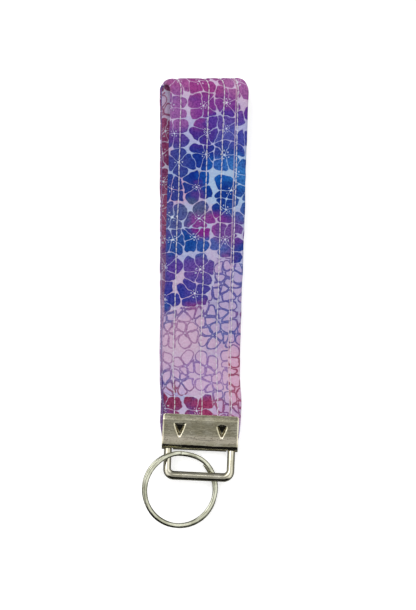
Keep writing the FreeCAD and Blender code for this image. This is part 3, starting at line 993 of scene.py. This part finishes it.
def tooth(name, centre, front):
    """One bent tooth: a tapered tongue with a ridge, which bites into the strap."""
    points = []
    rows, columns = 14, 13
    reach = TOOTH_LENGTH - 2.2 * RIM
    for layer in (0, 1):
        for part in np.linspace(0, 1, rows):
            half = (TOOTH_WIDTH / 2 - 1.15 * RIM) * (1 - part) + 0.10 * MM
            half += 0.22 * MM * math.sin(math.pi * part)
            for side in np.linspace(-1, 1, columns):
                ridge = 0.42 * MM * abs(side) * (1 - 0.6 * part)
                down = tooth_depth(reach * part) + ridge + layer * 0.5 * MM
                z = CLAMP_HIGH[2] - down if front else CLAMP_LOW[2] + down
                points.append((centre + side * half, TOOTH_ROOT - 0.7 * RIM - reach * part, z))
    low = rows * columns
    faces = grid_faces(rows, columns) + grid_faces(rows, columns, start=low)
    rim = [i * columns for i in range(rows)] + [(rows - 1) * columns + j for j in range(1, columns)]
    rim += [i * columns + columns - 1 for i in reversed(range(rows - 1))] + list(range(columns - 2, 0, -1))
    for a, b in zip(rim, rim[1:] + rim[:1]):
        faces.append((a, b, b + low, a + low))
    made = new_piece(name, points, faces, CLAMP_LOOK)
    flip_to_outside(made)
    soften(made, 0.06 * MM)
    return made


# ---- wire loop and split ring ----------------------------------------------------------------------------------


def wire_loop():
    """A rounded rectangle of wire. Its bottom bar is pressed a little thicker, and its ends meet in the top bar."""
    high, low = -TOP_BEND, BOTTOM_BEND - BAR_DISTANCE
    arcs = []
    for way, y, bend, start in (
        (1, high, TOP_BEND, 90),
        (1, low, BOTTOM_BEND, 0),
        (-1, low, BOTTOM_BEND, -90),
        (-1, high, TOP_BEND, 180),
    ):
        turn = math.radians(start) - np.linspace(0, math.pi / 2, 15)
        arcs.append(np.stack([way * (LEG_X - bend) + bend * np.cos(turn), y + bend * np.sin(turn)], axis=1))
    path = []
    for arc, after in zip(arcs, arcs[1:] + arcs[:1]):
        gap = after[0] - arc[-1]
        steps = max(2, int(np.linalg.norm(gap) / (0.7 * MM)))
        path.extend(arc)
        path.extend(arc[-1] + gap * n / steps for n in range(1, steps))
    path = np.array(path)
    bottom = smooth_step((-path[:, 1] - (BAR_DISTANCE - 3.2 * MM)) / (3 * MM))
    sizes = np.stack([WIRE_RADIUS * (1.07 + 0.16 * bottom), WIRE_RADIUS * (1.0 - 0.06 * bottom)], axis=1)
    line = np.stack([path[:, 0], path[:, 1], 0 * path[:, 0]], axis=1)
    points, faces = tube(line, sizes, np.tile((0.0, 0.0, 1.0), (len(path), 1)), 32, closed=True)
    placed = Matrix.Translation(PIVOT) @ Matrix.Rotation(-LOOP_LIFT, 4, "X")
    made = new_piece("wire_loop_piece", [placed @ Vector(p) for p in points], faces, WIRE_LOOK)
    flip_to_outside(made)
    return made


def split_ring():
    """Two turns of flat wire, not quite concentric, with a jog that drops from the upper to the lower one."""
    level = (TURN + TURN_GAP) / 2
    overlap = 2 * math.pi - JOG
    angles = np.concatenate([
        np.linspace(-JOG / 2 - overlap, -JOG / 2, 150, endpoint=False),
        np.linspace(-JOG / 2, JOG / 2, 30, endpoint=False),
        np.linspace(JOG / 2, JOG / 2 + overlap, 150),
    ])
    drop = smooth_step((angles + JOG / 2) / JOG)
    height = level * (1 - 2 * drop)
    # The two turns are sprung a little out of round, each its own way, so they part and cross.
    place = angles + RING_END_ANGLE - math.radians(5)
    spread = (0.22 * np.sin(2 * place) + 0.13 * np.sin(place)) * MM * (1 - 2 * drop)
    radius = RING_RADIUS + spread
    path = np.stack([radius * np.cos(angles), radius * np.sin(angles), height], axis=1)
    normals = np.tile((0.0, 0.0, 1.0), (len(path), 1))
    end = np.minimum(np.arange(len(path)), np.arange(len(path))[::-1])
    taper = 0.80 + 0.20 * smooth_step(end / 4)
    sizes = np.stack([RING_WIRE / 2 * taper, TURN / 2 * taper], axis=1)
    points, faces = tube(path, sizes, normals, 20, power=2.15)
    placed = (
        Matrix.Translation(RING_CENTRE)
        @ Matrix.Rotation(RING_TILT, 4, "Y")
        @ Matrix.Rotation(RING_END_ANGLE, 4, "Z")
    )
    made = new_piece("split_ring_piece", [placed @ Vector(p) for p in points], faces, RING_LOOK)
    flip_to_outside(made)
    return made


# ---- stage, light and camera -----------------------------------------------------------------------------------


def stage_floor():
    """A plain pale table top. It lights the metal from below less than a real white table would."""
    half = 2.5
    floor = new_piece(
        "floor",
        [(-half, -half, 0), (half, -half, 0), (half, half, 0), (-half, half, 0)],
        [(0, 1, 2, 3)],
        floor_look(),
        smooth=False,
    )
    floor.location.z = -0.05 * MM


def floor_look():
    """Matt white, and plainer and darker as the nickel reflects it, as a table in a dim room is."""
    sh = Shader("pale_floor")
    path = sh.node("ShaderNodeLightPath")
    sh.set(
        Base_Color=sh.mix(path.outputs["Is Glossy Ray"], (0.90, 0.90, 0.90, 1), (0.20, 0.20, 0.18, 1)),
        Roughness=0.9,
    )
    sh.set(Emission_Color=(1, 1, 1, 1), Emission_Strength=sh.times(path.outputs["Is Camera Ray"], 0.60))
    return sh.material


def grey_stops(*stops):
    return tuple((place, (level, level, level, 1)) for place, level in stops)


def studio_light():
    """A dim room with broad soft boxes overhead, on the left, the right and the far side of the table."""
    world = bpy.data.worlds.new("studio")
    bpy.context.scene.world = world
    world.use_nodes = True
    sh = Nodes(world.node_tree)
    x, y, z = sh.parts(sh.node("ShaderNodeTexCoord").outputs["Generated"])
    off = sh.length(x, y)
    facing = sh.math("DIVIDE", y, sh.math("MAXIMUM", off, 0.02))
    sides = sh.ramp(off, grey_stops((0.0, 0.24), (0.10, 0.36), (0.32, 1.25), (0.78, 1.30), (0.94, 0.40)))
    far = sh.ramp(off, grey_stops((0.0, 0.24), (0.14, 0.52), (0.34, 0.60), (0.70, 0.45), (0.95, 0.25)))
    near = sh.ramp(off, grey_stops((0.0, 0.24), (0.20, 0.50), (0.34, 0.44), (0.44, 0.01), (0.97, 0.01), (1.0, 0.1)))
    light = sh.mix(sh.step(facing, 0.86, 0.98), sides, far)
    light = sh.mix(sh.step(facing, -0.40, -0.80), light, near)
    light = sh.mix(sh.step(z, 0.02, -0.02), light, (0.1, 0.1, 0.1, 1))
    back = sh.node("ShaderNodeBackground")
    sh.put(back.inputs[0], sh.tinted(light, (1.0, 1.0, 0.97, 1)))
    sh.put(sh.node("ShaderNodeOutputWorld").inputs[0], back)
    lamp = bpy.data.lights.new("soft_key", "AREA")
    lamp.shape = "RECTANGLE"
    lamp.size = 0.7
    lamp.size_y = 0.5
    lamp.energy = 1.6
    key = bpy.data.objects.new("soft_key", lamp)
    key.location = (-0.35, 0.45, 0.75)
    key.rotation_euler = (Vector((0, 0.06, 0)) - key.location).to_track_quat("-Z", "Y").to_euler()
    bpy.context.scene.collection.objects.link(key)


def photo_camera():
    """Straight above the keychain with a long lens, turned so that the clamp leans as it does in use."""
    roll = math.radians(2.6)
    view_height = 256.8 * MM
    distance = 1.0
    target = Vector((0.75 * MM, 54.0 * MM, 4 * MM))
    data = bpy.data.cameras.new("camera")
    data.sensor_fit = "VERTICAL"
    data.sensor_height = 36
    data.lens = data.sensor_height * distance / view_height
    data.clip_start = 0.01
    camera = bpy.data.objects.new("camera", data)
    camera.location = target + Vector((0, 0, distance))
    camera.rotation_euler = (0, 0, roll)
    bpy.context.scene.collection.objects.link(camera)
    bpy.context.scene.camera = camera
    bpy.context.scene.view_settings.view_transform = "Standard"


# ---- build -----------------------------------------------------------------------------------------------------

photo_camera()
studio_light()
stage_floor()

COTTON = printed_cotton()
THREAD_LOOK = sewing_thread()
CLAMP_LOOK = nickel(
    "clamp_nickel",
    (rgb(192, 186, 160), rgb(222, 217, 196)),
    blotch=(0.09, 0.42, 0.3),
    scratch_turn=0.2,
    wave=0.24,
    brown_reflection=0.75,
    highlight_band=0.7,
)
WIRE_LOOK = nickel(
    "wire_nickel",
    (rgb(196, 192, 172), rgb(222, 218, 202)),
    blotch=(0.3, 0.3, 0.3),
    scratch_turn=1.2,
    wave=0.03,
    brown_reflection=0.3,
)
RING_LOOK = nickel(
    "ring_nickel",
    (rgb(160, 161, 142), rgb(208, 209, 192)),
    blotch=(0.35, 0.35, 0.35),
    scratch_turn=0.7,
    wave=0.10,
    brown_reflection=0.4,
)

strap = strap_skin()
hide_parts("strap_cover", "strap_core", "strap_cover_ends", "strap_core_ends")
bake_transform(strap)

for number, row in enumerate(ROW_PLACES):
    for kind, face in (("needle", 1), ("bobbin", -1)):
        thread = stitch_row("%s_stitches_%d" % (kind, number + 1), number, row, face)
        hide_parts("%s_thread_%d" % (kind, number + 1))
        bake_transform(thread)

plate = clamp_plate()
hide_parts("clamp")
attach(plate, "clamp")
for n, centre in enumerate(TEETH):
    for side_name, front in (("front", True), ("back", False)):
        bite = tooth("tooth_%s_%d" % (side_name, n + 1), centre, front)
        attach(bite, "clamp")

loop = wire_loop()
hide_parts("wire_loop")
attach(loop, "wire_loop")

ring = split_ring()
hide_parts("split_ring")
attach(ring, "split_ring")
